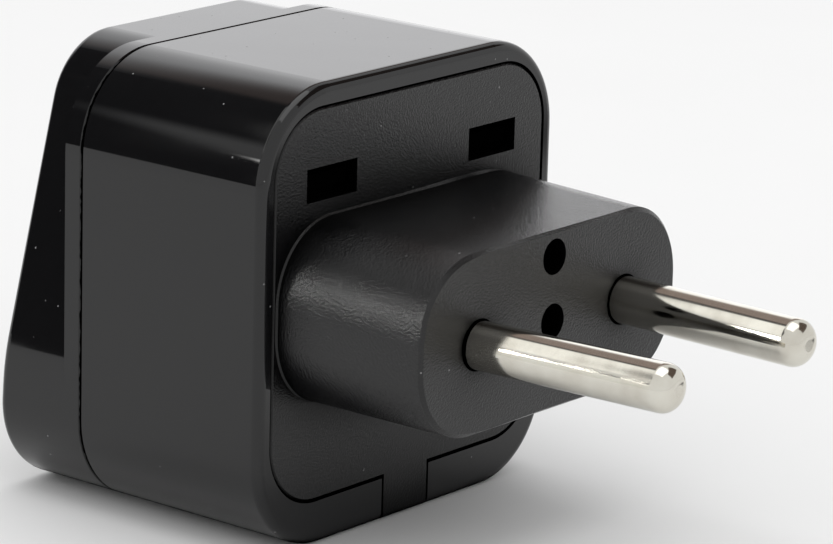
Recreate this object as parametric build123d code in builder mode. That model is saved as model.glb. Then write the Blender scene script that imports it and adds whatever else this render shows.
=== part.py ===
"""Travel adapter: a two-pin round-pin plug at the back, a universal socket in the front cover.

Frame, in millimetres: +Z is up, +Y points along the pins towards the wall outlet, and the
socket cover faces -Y. The origin is the centre of the case's underside.
"""
import os
from math import atan, cos, radians, sin, tan

from build123d import *

# Case sleeve
CASE_W = 37.5
CASE_H = 38.6
CASE_D = 19.6
CASE_CORNER_R = 8.1
WALL = 1.8
REAR_EDGE_R = 0.8
SEAM_CHAMFER = 0.2
PARTITION_IN = 6.0
PARTITION_T = 1.6

# Front cover: a full rim, and a raised keystone front that leans forward towards its foot
RIM_D = 2.1
RIM_EDGE = 0.3
FRONT_TOP_D = 7.7
FRONT_LEAN = 3.1
FRONT_TOP_IN = 5.65
FRONT_FULL_Z = 11.5
FRONT_TOP_R = 6.3
FRONT_BLEND_R = 22.0
FRONT_EDGE_R = 0.8
FRONT_T = 2.0
LIP_D = 1.5
LIP_GAP = 0.1

# Socket apertures, all on one pin row, with the earth pin's opening above it
ROW_Z = 9.2
FLAT_PIN_X = 11.1
FLAT_PIN_W = 7.0
FLAT_PIN_H = 4.8
ROUND_PIN_X = 9.5
ROUND_PIN_D = 5.4
BLADE_X = 6.35
BLADE_W = 2.2
BLADE_H = 7.4
ANGLED_X = 7.2
ANGLED_TURN = 30.0
EARTH_RISE = 22.2
EARTH_W = 4.8
EARTH_H = 8.8
EARTH_ROUND_D = 5.6
EARTH_ROUND_DROP = 6.4

# Back plate with the hollow plug moulded on it
RIM_SIDE = 1.55
RIM_TOP = 1.95
RIM_FOOT = 3.95
PLATE_R = 5.6
PLATE_T = 2.0
PLATE_GAP = 0.2
PLATE_EDGE = 0.15
PLATE_LEDGE = 1.2
PLUG_L = 14.8
PLUG_SIDE_IN = 0.4
PLUG_DOWN = 7.45
PLUG_UP = 7.55
PLUG_CORNER_R = 6.5
PLUG_SIDE_DRAFT = 0.1
PLUG_TOP_DRAFT = 0.55
PLUG_WALL = 1.8
PLUG_FACE_T = 2.0
PLUG_FACE_EDGE = 0.3
PLUG_ROOT = 0.15
CORE_HOLE_D = 3.0
CORE_HOLE_RISE = 5.4
CORE_HOLE_DEPTH = 4.4
CORE_BOSS_WALL = 0.9
TAB_W = 5.6
TAB_T = 2.4
TAB_LIFT = 0.1
TAB_EDGE_R = 0.5
TAB_GAP = 0.25

# Snap windows in the plate, and the case hooks behind them
WINDOW_X = 10.3
WINDOW_W = 6.2
WINDOW_H = 2.8
WINDOW_DOWN = 6.2
CATCH_STEP = 0.8
CATCH_T = 1.4
HOOK_T = 1.1
HOOK_GAP = 0.1
HOOK_SIDE_GAP = 0.4
HOOK_BARB_T = 0.4

# Pins
PIN_D = 4.0
PIN_L = 19.0
PIN_PITCH = 19.0
PIN_LIFT = 0.3
PIN_TIP_PITCH = 17.5
PIN_TIP_R = 1.5
PIN_NECK_D = 3.2
PIN_NECK_OUT = 0.2
PIN_HOLE_GAP = 0.15
COLLAR_D = 7.0
COLLAR_T = 1.2
STEM_D = 2.6
STEM_HEAD_D = 3.8
STEM_HEAD_T = 0.7
WASHER_D = 5.6
WASHER_T = 0.5

# Live and neutral metalwork
STRIP_T = 0.8
STRIP_W = 6.0
STRIP_BEND_R = 0.8
STRIP_RISE = 3.8
STRIP_EYE = 3.2
CONTACT_T = 0.6
CONTACT_W = 9.0
CONTACT_X = 9.9
CONTACT_H = 7.2
CONTACT_THROAT = 3.0
CONTACT_MOUTH = 6.0
CONTACT_FLARE = 3.0
CONTACT_MOUTH_GAP = 0.6
CONTACT_BEND_R = 0.9
TAIL_W = 4.0
TAIL_H = 3.2
RIVET_D = 2.0
RIVET_HEAD_D = 3.0
RIVET_HEAD_T = 0.7

# Moulded carrier round the contacts, and the retainer that holds the strips to the pins
CARRIER_GAP = 0.3
CARRIER_FRONT_T = 1.2
POCKET_GAP = 0.4
POCKET_R = 1.0
CARRIER_WALL = 1.2
TOWER_WALL = 1.2
RETAINER_T = 2.4
RETAINER_GAP = 0.3
RETAINER_HOLE_GAP = 0.4
RETAINER_SCREW_X = 4.3
RETAINER_SCREW_DROP = 3.4

# Self-tapping screws
CASE_SCREW_D = 2.2
CASE_SCREW_L = 7.5
CASE_SCREW_HEAD_D = 4.0
CASE_SCREW_HEAD_T = 1.6
CASE_SCREW_GAP = 0.3
CASE_SCREW_IN = 6.75
CASE_SCREW_DOWN = 5.4
CASE_SCREW_UP = 8.0
POST_D = 4.6
SMALL_SCREW_D = 1.8
SMALL_SCREW_L = 5.0
SMALL_SCREW_HEAD_D = 3.6
SMALL_SCREW_HEAD_T = 1.2
SMALL_POST_D = 3.8
PILOT_SPARE = 0.5
CROSS_T = 0.5
CROSS_SHARE = 0.6
HEAD_BEVEL = 0.35
TIP_BEVEL = 0.2
CROSS_DEPTH = 0.7

# Places along the pin axis
REAR_Y = CASE_D / 2
SEAM_Y = -CASE_D / 2
PLUG_FACE_Y = REAR_Y + PLUG_L
PLUG_INSIDE_Y = PLUG_FACE_Y - PLUG_FACE_T
PLATE_INSIDE_Y = REAR_Y - PLATE_T
COLLAR_BACK_Y = PLUG_INSIDE_Y - COLLAR_T
STRIP_BACK_Y = COLLAR_BACK_Y - STRIP_T
WASHER_BACK_Y = STRIP_BACK_Y - WASHER_T
PARTITION_REAR_Y = REAR_Y - PARTITION_IN
PARTITION_Y = PARTITION_REAR_Y - PARTITION_T
WEB_BACK_Y = PARTITION_Y - STRIP_T
WEB_Y = WEB_BACK_Y - CONTACT_T

# Sizes and places across it
PLATE_W = CASE_W - 2 * RIM_SIDE
PLATE_H = CASE_H - RIM_TOP - RIM_FOOT
PLATE_Z = RIM_FOOT
PIN_X = PIN_PITCH / 2
PIN_Z = CASE_H / 2 + PIN_LIFT
WINDOW_Z = CASE_H - RIM_TOP - WINDOW_DOWN
PLATE_MID_Z = PLATE_Z + PLATE_H / 2
PLUG_ROOT_W = PLATE_W - 2 * PLUG_SIDE_IN
PLUG_W = PLUG_ROOT_W - 2 * PLUG_SIDE_DRAFT
PLUG_H = PLUG_UP + PLUG_DOWN
PLUG_MID_Z = PIN_Z + (PLUG_UP - PLUG_DOWN) / 2
STRIP_Z = PIN_Z + STRIP_RISE
TAIL_TOP_Z = ROW_Z + CONTACT_H / 2 + CONTACT_T + TAIL_H
RIVET_Z = TAIL_TOP_Z - TAIL_H / 2
EARTH_Z = ROW_Z + EARTH_RISE
CASE_SCREW_X = CASE_W / 2 - CASE_SCREW_IN
CASE_SCREWS = {
    "lower": (0, CASE_SCREW_UP),
    "upper_left": (-CASE_SCREW_X, CASE_H - CASE_SCREW_DOWN),
    "upper_right": (CASE_SCREW_X, CASE_H - CASE_SCREW_DOWN),
}
RETAINER_SCREWS = {
    "left": (-RETAINER_SCREW_X, PIN_Z - RETAINER_SCREW_DROP),
    "right": (RETAINER_SCREW_X, PIN_Z - RETAINER_SCREW_DROP),
}
PIN_LEAN = atan((PIN_PITCH - PIN_TIP_PITCH) / 2 / PIN_L)
POLES = {"live": 1, "neutral": -1}

# The cover's leaning front face, with its normal pointing out of the socket
FRONT_FACE = Plane(
    origin=(0, SEAM_Y - FRONT_TOP_D, CASE_H),
    x_dir=(1, 0, 0),
    z_dir=(0, -1, tan(radians(FRONT_LEAN))),
)
FRONT_INSIDE = FRONT_FACE.offset(-FRONT_T)
FRONT_REACH = FRONT_TOP_D + CASE_H * tan(radians(FRONT_LEAN))


def facing(y):
    """Upright plane at y whose sketches use (X, Z) and whose extrusions go towards -Y."""
    return Plane.XZ.offset(-y)


def front_y(z):
    """Where the cover's front face is at height z."""
    return SEAM_Y - FRONT_TOP_D - (CASE_H - z) * tan(radians(FRONT_LEAN))


def case_outline(inset=0.0, mode=Mode.ADD):
    """The case's rounded square, moved in by inset."""
    with Locations((0, CASE_H / 2)):
        RectangleRounded(CASE_W - 2 * inset, CASE_H - 2 * inset, CASE_CORNER_R - inset, mode=mode)


def front_outline(inset=0.0):
    """The raised front: narrow at its top, running out to the case's sides lower down."""
    side = CASE_W / 2
    top = side - FRONT_TOP_IN
    Polygon(
        (-side, 0),
        (side, 0),
        (side, FRONT_FULL_Z),
        (top, CASE_H),
        (-top, CASE_H),
        (-side, FRONT_FULL_Z),
        align=None,
    )
    fillet(vertices().group_by(Axis.Y)[-1], radius=FRONT_TOP_R)
    fillet(vertices().group_by(Axis.Y)[1], radius=FRONT_BLEND_R)
    fillet(vertices().group_by(Axis.Y)[0], radius=CASE_CORNER_R)
    if inset:
        offset(amount=-inset, kind=Kind.INTERSECTION)


def plate_outline(grow=0.0):
    """The back plate's rounded rectangle, grown by grow all round."""
    with Locations((0, PLATE_MID_Z)):
        RectangleRounded(PLATE_W + 2 * grow, PLATE_H + 2 * grow, PLATE_R + grow)


def plug_outline(inset=0.0, side_draft=0.0, top_draft=0.0):
    """The plug's outline at its face, or at its root when given the drafts."""
    with Locations((0, PLUG_MID_Z + top_draft / 2)):
        RectangleRounded(
            PLUG_W + 2 * side_draft - 2 * inset,
            PLUG_H + top_draft - 2 * inset,
            PLUG_CORNER_R - inset,
        )


def socket_apertures():
    """One opening per pole for flat, round, blade and angled pins, and the earth opening."""
    for side in POLES.values():
        with Locations((side * FLAT_PIN_X, ROW_Z)):
            Rectangle(FLAT_PIN_W, FLAT_PIN_H)
        with Locations((side * ROUND_PIN_X, ROW_Z)):
            Circle(ROUND_PIN_D / 2)
        with Locations((side * BLADE_X, ROW_Z)):
            Rectangle(BLADE_W, BLADE_H)
        with Locations(Location((side * ANGLED_X, ROW_Z), -side * ANGLED_TURN)):
            Rectangle(BLADE_W, BLADE_H)
    with Locations((0, EARTH_Z)):
        Rectangle(EARTH_W, EARTH_H)
    with Locations((0, EARTH_Z - EARTH_ROUND_DROP)):
        Circle(EARTH_ROUND_D / 2)


def screw(place, seat_y, drive, shank_d, length, head_d, head_t):
    """Pan-head screw with a cross recess, its head seated at seat_y and driven along drive * Y."""
    seat = Plane(origin=(place[0], seat_y, place[1]), x_dir=(1, 0, 0), z_dir=(0, drive, 0))
    along = Axis(seat.origin, seat.z_dir)
    with BuildPart() as body:
        with BuildSketch(seat):
            Circle(head_d / 2)
        extrude(amount=-head_t)
        chamfer(body.faces().sort_by(along)[0].edges(), length=head_t * HEAD_BEVEL)
        with BuildSketch(seat):
            Circle(shank_d / 2)
        extrude(amount=length)
        chamfer(body.faces().sort_by(along)[-1].edges(), length=shank_d * TIP_BEVEL)
        with BuildSketch(seat.offset(-head_t)):
            Rectangle(head_d * CROSS_SHARE, CROSS_T)
            Rectangle(CROSS_T, head_d * CROSS_SHARE)
        extrude(amount=CROSS_DEPTH, mode=Mode.SUBTRACT)
    return body.part


def save(part, name):
    """Label a finished piece and write it to its own file."""
    part.label = name
    export_step(part, f"parts/{name}.step")


os.makedirs("parts", exist_ok=True)

# Housing: the case sleeve, with a partition across it and a pocket for the back plate
with BuildPart() as housing:
    with BuildSketch(facing(REAR_Y)):
        case_outline()
    extrude(amount=CASE_D)
    fillet(housing.faces().sort_by(Axis.Y)[-1].edges(), radius=REAR_EDGE_R)
    chamfer(housing.faces().sort_by(Axis.Y)[0].edges(), length=SEAM_CHAMFER)
    with BuildSketch(facing(PARTITION_Y)):
        case_outline(WALL)
    extrude(amount=PARTITION_Y - SEAM_Y, mode=Mode.SUBTRACT)
    with BuildSketch(facing(SEAM_Y + LIP_D + LIP_GAP)):
        case_outline(WALL / 2)
    extrude(amount=LIP_D + LIP_GAP, mode=Mode.SUBTRACT)
    with BuildSketch(facing(REAR_Y)):
        plate_outline(PLATE_GAP)
    extrude(amount=PLATE_T, mode=Mode.SUBTRACT)
    with BuildSketch(facing(PLATE_INSIDE_Y)):
        plate_outline(-PLATE_LEDGE)
    extrude(amount=PLATE_INSIDE_Y - PARTITION_REAR_Y, mode=Mode.SUBTRACT)
    with BuildSketch(facing(REAR_Y)):
        with Locations((0, 0)):
            Rectangle(TAB_W + 2 * TAB_GAP, 2 * (PLATE_Z + PLATE_LEDGE))
    extrude(amount=TAB_T + TAB_GAP, mode=Mode.SUBTRACT)
    with BuildSketch(facing(PARTITION_REAR_Y)):
        with Locations(*CASE_SCREWS.values()):
            Circle(CASE_SCREW_D / 2 + CASE_SCREW_GAP)
        for side in POLES.values():
            slot_top = STRIP_Z + STRIP_T + POCKET_GAP
            slot_foot = STRIP_Z - STRIP_BEND_R - POCKET_GAP
            with Locations((side * PIN_X, (slot_top + slot_foot) / 2)):
                Rectangle(STRIP_W + 2 * POCKET_GAP, slot_top - slot_foot)
            with Locations((side * PIN_X, RIVET_Z)):
                Circle(RIVET_HEAD_D / 2 + POCKET_GAP)
    extrude(amount=PARTITION_T, mode=Mode.SUBTRACT)
    hook_foot = WINDOW_Z - WINDOW_H / 2 + CATCH_STEP + HOOK_GAP
    barb_back = REAR_Y - CATCH_T + HOOK_GAP
    for side in POLES.values():
        with BuildSketch(Plane.YZ.offset(side * WINDOW_X)):
            with BuildLine():
                Polyline(
                    (PARTITION_Y, hook_foot),
                    (barb_back, hook_foot),
                    (barb_back, hook_foot - CATCH_STEP),
                    (barb_back + HOOK_BARB_T, hook_foot),
                    (barb_back + HOOK_BARB_T, hook_foot + HOOK_T),
                    (PARTITION_Y, hook_foot + HOOK_T),
                    close=True,
                )
            make_face()
        extrude(amount=WINDOW_W / 2 - HOOK_SIDE_GAP, both=True)
save(housing.part, "housing")

# Room inside the front cover, less the posts that the case screws bite into
with BuildPart() as cover_core:
    with BuildSketch(facing(SEAM_Y)):
        front_outline(WALL)
    extrude(amount=FRONT_REACH)
    split(bisect_by=FRONT_INSIDE, keep=Keep.BOTTOM)
    with BuildSketch(facing(SEAM_Y)):
        with Locations(*CASE_SCREWS.values()):
            Circle(POST_D / 2)
    extrude(amount=FRONT_REACH, mode=Mode.SUBTRACT)

# Front cover: rim, raised leaning front, lip into the housing, screw posts and apertures
with BuildPart() as front_cover:
    with BuildSketch(facing(SEAM_Y)):
        case_outline()
    extrude(amount=RIM_D)
    chamfer(front_cover.faces().sort_by(Axis.Y)[-1].edges(), length=SEAM_CHAMFER)
    chamfer(front_cover.faces().sort_by(Axis.Y)[0].edges(), length=RIM_EDGE)
    with BuildSketch(facing(SEAM_Y - RIM_D / 2)):
        front_outline()
    extrude(amount=FRONT_REACH)
    split(bisect_by=FRONT_FACE, keep=Keep.BOTTOM)
    fillet(front_cover.faces().sort_by(Axis.Y)[0].edges(), radius=FRONT_EDGE_R)
    with BuildSketch(facing(SEAM_Y + LIP_D)):
        case_outline(WALL / 2 + LIP_GAP)
        case_outline(WALL, mode=Mode.SUBTRACT)
    extrude(amount=LIP_D)
    add(cover_core.part, mode=Mode.SUBTRACT)
    with BuildSketch(facing(PARTITION_Y)):
        with Locations(*CASE_SCREWS.values()):
            Circle(POST_D / 2)
    extrude(amount=PARTITION_Y - SEAM_Y)
    with BuildSketch(facing(PARTITION_Y)):
        with Locations(*CASE_SCREWS.values()):
            Circle(CASE_SCREW_D / 2)
    extrude(amount=CASE_SCREW_L - PARTITION_T + PILOT_SPARE, mode=Mode.SUBTRACT)
    with BuildSketch(facing(SEAM_Y)):
        socket_apertures()
    extrude(amount=FRONT_REACH, mode=Mode.SUBTRACT)
save(front_cover.part, "front_cover")

# Pockets in the carrier: one behind each aperture, a slot for each tail, and the earth chamber
with BuildPart() as carrier_pockets:
    with BuildSketch(facing(PARTITION_Y)):
        for side in POLES.values():
            with Locations((side * CONTACT_X, ROW_Z)):
                RectangleRounded(
                    CONTACT_W + 2 * POCKET_GAP,
                    CONTACT_H + 2 * CONTACT_T + 2 * POCKET_GAP,
                    POCKET_R,
                )
        with Locations((0, EARTH_Z - EARTH_ROUND_DROP / 2)):
            Rectangle(EARTH_ROUND_D, EARTH_H + EARTH_ROUND_DROP)
    extrude(amount=PARTITION_Y - SEAM_Y + FRONT_REACH)
    split(bisect_by=FRONT_INSIDE.offset(-CARRIER_FRONT_T), keep=Keep.BOTTOM)
    with BuildSketch(facing(PARTITION_Y)):
        for side in POLES.values():
            with Locations((side * PIN_X, (ROW_Z + TAIL_TOP_Z) / 2 + CARRIER_WALL)):
                Rectangle(STRIP_W + 2 * POCKET_GAP, TAIL_TOP_Z - ROW_Z + 2 * CARRIER_WALL)
    extrude(amount=STRIP_T + CONTACT_T + RIVET_HEAD_T + POCKET_GAP)

# Carrier: follows the inside of the cover, an upright tower for the earth pin on a wide block
with BuildPart() as contact_carrier:
    block_top = TAIL_TOP_Z + CARRIER_WALL
    block_foot = ROW_Z - CONTACT_H / 2 - CONTACT_T - POCKET_GAP - CARRIER_WALL
    with BuildSketch(facing(PARTITION_Y)):
        front_outline(WALL + CARRIER_GAP)
        with BuildSketch(mode=Mode.INTERSECT):
            with Locations((0, (block_top + block_foot) / 2)):
                Rectangle(CASE_W, block_top - block_foot)
            with Locations((0, (block_top + CASE_H) / 2)):
                Rectangle(EARTH_ROUND_D + 2 * TOWER_WALL, CASE_H - block_top)
    extrude(amount=PARTITION_Y - SEAM_Y + FRONT_REACH)
    split(bisect_by=FRONT_INSIDE, keep=Keep.BOTTOM)
    add(carrier_pockets.part, mode=Mode.SUBTRACT)
    with BuildSketch(facing(PARTITION_Y)):
        with Locations(CASE_SCREWS["lower"]):
            Circle(POST_D / 2 + CARRIER_GAP)
    extrude(amount=PARTITION_Y - SEAM_Y + FRONT_REACH, mode=Mode.SUBTRACT)
    with BuildSketch(facing(SEAM_Y)):
        socket_apertures()
    extrude(amount=FRONT_REACH, mode=Mode.SUBTRACT)
save(contact_carrier.part, "contact_carrier")

# Hollow of the plug, less the bosses behind the core holes and the retainer's screw posts
with BuildPart() as plug_core:
    with BuildSketch(facing(PLATE_INSIDE_Y)):
        plug_outline(PLUG_WALL, PLUG_SIDE_DRAFT, PLUG_TOP_DRAFT)
    with BuildSketch(facing(PLUG_INSIDE_Y)):
        plug_outline(PLUG_WALL)
    loft()
    with BuildSketch(facing(PLUG_INSIDE_Y)):
        with Locations((0, PIN_Z), (0, PIN_Z + CORE_HOLE_RISE)):
            Circle(CORE_HOLE_D / 2 + CORE_BOSS_WALL)
    extrude(amount=CORE_HOLE_DEPTH - PLUG_FACE_T + CORE_BOSS_WALL, mode=Mode.SUBTRACT)
    with BuildSketch(facing(PLUG_INSIDE_Y)):
        with Locations(*RETAINER_SCREWS.values()):
            Circle(SMALL_POST_D / 2)
    extrude(amount=PLUG_INSIDE_Y - STRIP_BACK_Y, mode=Mode.SUBTRACT)

# Back plate: plate, drafted hollow plug and foot tab in one moulding, with two snap windows
with BuildPart() as rear_plate:
    with BuildSketch(facing(REAR_Y)):
        plate_outline()
    extrude(amount=PLATE_T)
    chamfer(rear_plate.faces().sort_by(Axis.Y)[-1].edges(), length=PLATE_EDGE)
    with BuildSketch(facing(REAR_Y)):
        with Locations((0, (TAB_LIFT + PLATE_Z + PLATE_LEDGE) / 2)):
            Rectangle(TAB_W, PLATE_Z + PLATE_LEDGE - TAB_LIFT)
    extrude(amount=TAB_T)
    fillet(
        rear_plate.faces().sort_by(Axis.Z)[0].edges().sort_by(Axis.Y)[-1],
        radius=TAB_EDGE_R,
    )
    with BuildSketch(facing(REAR_Y)):
        plug_outline(0, PLUG_SIDE_DRAFT, PLUG_TOP_DRAFT)
    with BuildSketch(facing(PLUG_FACE_Y)):
        plug_outline()
    loft()
    chamfer(edges(Select.LAST).group_by(Axis.Y)[0], length=PLUG_ROOT)
    chamfer(rear_plate.faces().sort_by(Axis.Y)[-1].edges(), length=PLUG_FACE_EDGE)
    add(plug_core.part, mode=Mode.SUBTRACT)
    with BuildSketch(facing(PLUG_FACE_Y)):
        with Locations((-PIN_X, PIN_Z), (PIN_X, PIN_Z)):
            Circle(PIN_D / 2 + PIN_HOLE_GAP)
    extrude(amount=PLUG_FACE_T, mode=Mode.SUBTRACT)
    with BuildSketch(facing(PLUG_FACE_Y)):
        with Locations((0, PIN_Z), (0, PIN_Z + CORE_HOLE_RISE)):
            Circle(CORE_HOLE_D / 2)
    extrude(amount=CORE_HOLE_DEPTH, mode=Mode.SUBTRACT)
    with BuildSketch(facing(STRIP_BACK_Y + SMALL_SCREW_L - RETAINER_T)):
        with Locations(*RETAINER_SCREWS.values()):
            Circle(SMALL_SCREW_D / 2)
    extrude(amount=SMALL_SCREW_L - RETAINER_T, mode=Mode.SUBTRACT)
    with BuildSketch(facing(REAR_Y)):
        with Locations((-WINDOW_X, WINDOW_Z), (WINDOW_X, WINDOW_Z)):
            Rectangle(WINDOW_W, WINDOW_H)
    extrude(amount=CATCH_T, mode=Mode.SUBTRACT)
    with BuildSketch(facing(REAR_Y)):
        catch_z = WINDOW_Z + CATCH_STEP / 2
        with Locations((-WINDOW_X, catch_z), (WINDOW_X, catch_z)):
            Rectangle(WINDOW_W, WINDOW_H - CATCH_STEP)
    extrude(amount=PLATE_T, mode=Mode.SUBTRACT)
save(rear_plate.part, "rear_plate")

# Live and neutral metalwork, the same on both sides
for pole, side in POLES.items():
    pin_x = side * PIN_X
    head_back_y = WASHER_BACK_Y - STEM_HEAD_T

    # Pin: a shank that leans towards the other pin, on a straight neck, collar and peened stem
    shank_plane = Plane(
        origin=(pin_x, PLUG_FACE_Y, PIN_Z),
        x_dir=(cos(PIN_LEAN), side * sin(PIN_LEAN), 0),
        z_dir=(0, 0, 1),
    )
    with BuildPart() as pin:
        with BuildSketch(shank_plane) as shank:
            with BuildLine():
                Polyline(
                    (0, PIN_L),
                    (PIN_D / 2, PIN_L),
                    (PIN_D / 2, PIN_NECK_OUT),
                    (0, PIN_NECK_OUT),
                    close=True,
                )
            make_face()
            fillet(vertices().group_by(Axis.Y)[-1].sort_by(Axis.X)[-1], radius=PIN_TIP_R)
        revolve(axis=Axis(shank_plane.origin, shank_plane.y_dir))
        with BuildSketch(Plane(origin=(pin_x, 0, PIN_Z))):
            with BuildLine():
                Polyline(
                    (0, PLUG_FACE_Y + PIN_D / 2),
                    (PIN_NECK_D / 2, PLUG_FACE_Y + PIN_D / 2),
                    (PIN_NECK_D / 2, PLUG_INSIDE_Y),
                    (COLLAR_D / 2, PLUG_INSIDE_Y),
                    (COLLAR_D / 2, COLLAR_BACK_Y),
                    (STEM_D / 2, COLLAR_BACK_Y),
                    (STEM_D / 2, WASHER_BACK_Y),
                    (STEM_HEAD_D / 2, WASHER_BACK_Y),
                    (STEM_D / 2, head_back_y),
                    (0, head_back_y),
                    close=True,
                )
            make_face()
        revolve(axis=Axis((pin_x, 0, PIN_Z), (0, 1, 0)))
    save(pin.part, f"{pole}_pin")

    with BuildPart() as washer:
        with BuildSketch(facing(STRIP_BACK_Y)):
            with Locations((pin_x, PIN_Z)):
                Circle(WASHER_D / 2)
                Circle(STEM_D / 2, mode=Mode.SUBTRACT)
        extrude(amount=WASHER_T)
    save(washer.part, f"{pole}_washer")

    # Strip: folded brass, an eye on the pin's stem at one end and a leg down the partition
    with BuildPart() as strip:
        with BuildSketch(Plane.YZ.offset(pin_x)):
            with BuildLine():
                FilletPolyline(
                    (STRIP_BACK_Y, PIN_Z - STRIP_EYE),
                    (STRIP_BACK_Y, STRIP_Z),
                    (PARTITION_Y, STRIP_Z),
                    (PARTITION_Y, ROW_Z),
                    radius=STRIP_BEND_R,
                )
                offset(amount=STRIP_T, side=Side.RIGHT)
            make_face()
        extrude(amount=STRIP_W / 2, both=True)
        with BuildSketch(facing(COLLAR_BACK_Y)):
            with Locations((pin_x, PIN_Z)):
                Circle(STEM_D / 2)
        extrude(amount=STRIP_T, mode=Mode.SUBTRACT)
        with BuildSketch(facing(PARTITION_Y)):
            with Locations((pin_x, RIVET_Z)):
                Circle(RIVET_D / 2)
        extrude(amount=STRIP_T, mode=Mode.SUBTRACT)
    save(strip.part, f"{pole}_strip")

    # Contact: a sprung clip, open towards the aperture, with a tail that is riveted to the strip
    with BuildPart() as contact:
        inside = (FRONT_T + CARRIER_FRONT_T) / cos(radians(FRONT_LEAN))
        mouth_y = front_y(ROW_Z + CONTACT_H / 2) + inside + CONTACT_MOUTH_GAP
        throat_y = mouth_y + CONTACT_FLARE
        with BuildSketch(Plane.YZ.offset(side * CONTACT_X)):
            with BuildLine():
                FilletPolyline(
                    (mouth_y, ROW_Z + CONTACT_MOUTH / 2),
                    (throat_y, ROW_Z + CONTACT_THROAT / 2),
                    (WEB_Y, ROW_Z + CONTACT_H / 2),
                    (WEB_Y, ROW_Z - CONTACT_H / 2),
                    (throat_y, ROW_Z - CONTACT_THROAT / 2),
                    (mouth_y, ROW_Z - CONTACT_MOUTH / 2),
                    radius=CONTACT_BEND_R,
                )
                offset(amount=CONTACT_T, side=Side.LEFT)
            make_face()
        extrude(amount=CONTACT_W / 2, both=True)
        with BuildSketch(facing(WEB_BACK_Y)):
            with Locations((pin_x, (ROW_Z + TAIL_TOP_Z) / 2)):
                Rectangle(TAIL_W, TAIL_TOP_Z - ROW_Z)
        extrude(amount=CONTACT_T)
        with BuildSketch(facing(WEB_BACK_Y)):
            with Locations((pin_x, RIVET_Z)):
                Circle(RIVET_D / 2)
        extrude(amount=CONTACT_T, mode=Mode.SUBTRACT)
    save(contact.part, f"{pole}_contact")

    with BuildPart() as rivet:
        with BuildSketch(Plane(origin=(pin_x, 0, RIVET_Z))) as rivet_profile:
            with BuildLine():
                Polyline(
                    (0, PARTITION_Y + RIVET_HEAD_T),
                    (RIVET_HEAD_D / 2, PARTITION_Y + RIVET_HEAD_T),
                    (RIVET_HEAD_D / 2, PARTITION_Y),
                    (RIVET_D / 2, PARTITION_Y),
                    (RIVET_D / 2, WEB_Y),
                    (RIVET_HEAD_D / 2, WEB_Y),
                    (RIVET_HEAD_D / 2, WEB_Y - RIVET_HEAD_T),
                    (0, WEB_Y - RIVET_HEAD_T),
                    close=True,
                )
            make_face()
            ends = rivet_profile.vertices().group_by(Axis.Y)
            rims = [ends[0].sort_by(Axis.X)[-1], ends[-1].sort_by(Axis.X)[-1]]
            chamfer(rims, length=RIVET_HEAD_T * HEAD_BEVEL)
        revolve(axis=Axis((pin_x, 0, RIVET_Z), (0, 1, 0)))
    save(rivet.part, f"{pole}_rivet")

# Retainer: a comb over the pins' strips, screwed to the inside of the plug face
with BuildPart() as pin_retainer:
    with BuildSketch(facing(STRIP_BACK_Y)):
        plug_outline(PLUG_WALL + RETAINER_GAP)
        for x, width in (
            (-PIN_X, WASHER_D),
            (0, CORE_HOLE_D + 2 * CORE_BOSS_WALL),
            (PIN_X, WASHER_D),
        ):
            slot_r = width / 2 + RETAINER_HOLE_GAP
            with Locations((x, PIN_Z)):
                Circle(slot_r, mode=Mode.SUBTRACT)
            with Locations((x, PIN_Z + PLUG_H / 2)):
                Rectangle(2 * slot_r, PLUG_H, mode=Mode.SUBTRACT)
        with Locations(*RETAINER_SCREWS.values()):
            Circle(SMALL_SCREW_D / 2, mode=Mode.SUBTRACT)
    extrude(amount=RETAINER_T)
save(pin_retainer.part, "pin_retainer")

# Screws: three from the partition into the cover's posts, two from the retainer into the plug's
for name, place in CASE_SCREWS.items():
    case_screw = screw(
        place,
        PARTITION_REAR_Y,
        -1,
        CASE_SCREW_D,
        CASE_SCREW_L,
        CASE_SCREW_HEAD_D,
        CASE_SCREW_HEAD_T,
    )
    save(case_screw, f"case_screw_{name}")
for name, place in RETAINER_SCREWS.items():
    retainer_screw = screw(
        place,
        STRIP_BACK_Y - RETAINER_T,
        1,
        SMALL_SCREW_D,
        SMALL_SCREW_L,
        SMALL_SCREW_HEAD_D,
        SMALL_SCREW_HEAD_T,
    )
    save(retainer_screw, f"retainer_screw_{name}")
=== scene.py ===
# %% [markdown]
# # A travel adapter in gloss and satin black
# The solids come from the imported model, already at their real size and place. This lesson dresses
# them: two black plastics that differ mainly in how they reflect, nickel-plated pins, brass inside,
# and a small photo studio whose lamp, bright windows and dark cards are what a black object really
# shows.

from math import cos, radians, sin

import bmesh
import bpy
from mathutils import Matrix, Vector


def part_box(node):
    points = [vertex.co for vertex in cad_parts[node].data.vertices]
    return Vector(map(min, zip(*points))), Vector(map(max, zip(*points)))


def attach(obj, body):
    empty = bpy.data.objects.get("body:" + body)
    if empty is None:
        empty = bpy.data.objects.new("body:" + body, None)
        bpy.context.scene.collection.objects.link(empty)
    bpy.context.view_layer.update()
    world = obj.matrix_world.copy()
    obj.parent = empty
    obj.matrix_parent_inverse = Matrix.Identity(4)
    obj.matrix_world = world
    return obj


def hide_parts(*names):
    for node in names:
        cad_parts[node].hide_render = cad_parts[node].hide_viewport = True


MM = 0.001
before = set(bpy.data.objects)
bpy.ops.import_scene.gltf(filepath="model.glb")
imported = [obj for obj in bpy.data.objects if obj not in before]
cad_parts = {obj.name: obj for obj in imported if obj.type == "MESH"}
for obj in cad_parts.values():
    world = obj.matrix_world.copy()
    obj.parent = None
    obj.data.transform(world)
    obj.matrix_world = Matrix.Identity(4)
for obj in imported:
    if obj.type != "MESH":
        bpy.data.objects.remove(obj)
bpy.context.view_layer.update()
print("nodes:", ", ".join(sorted(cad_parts)))

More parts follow.
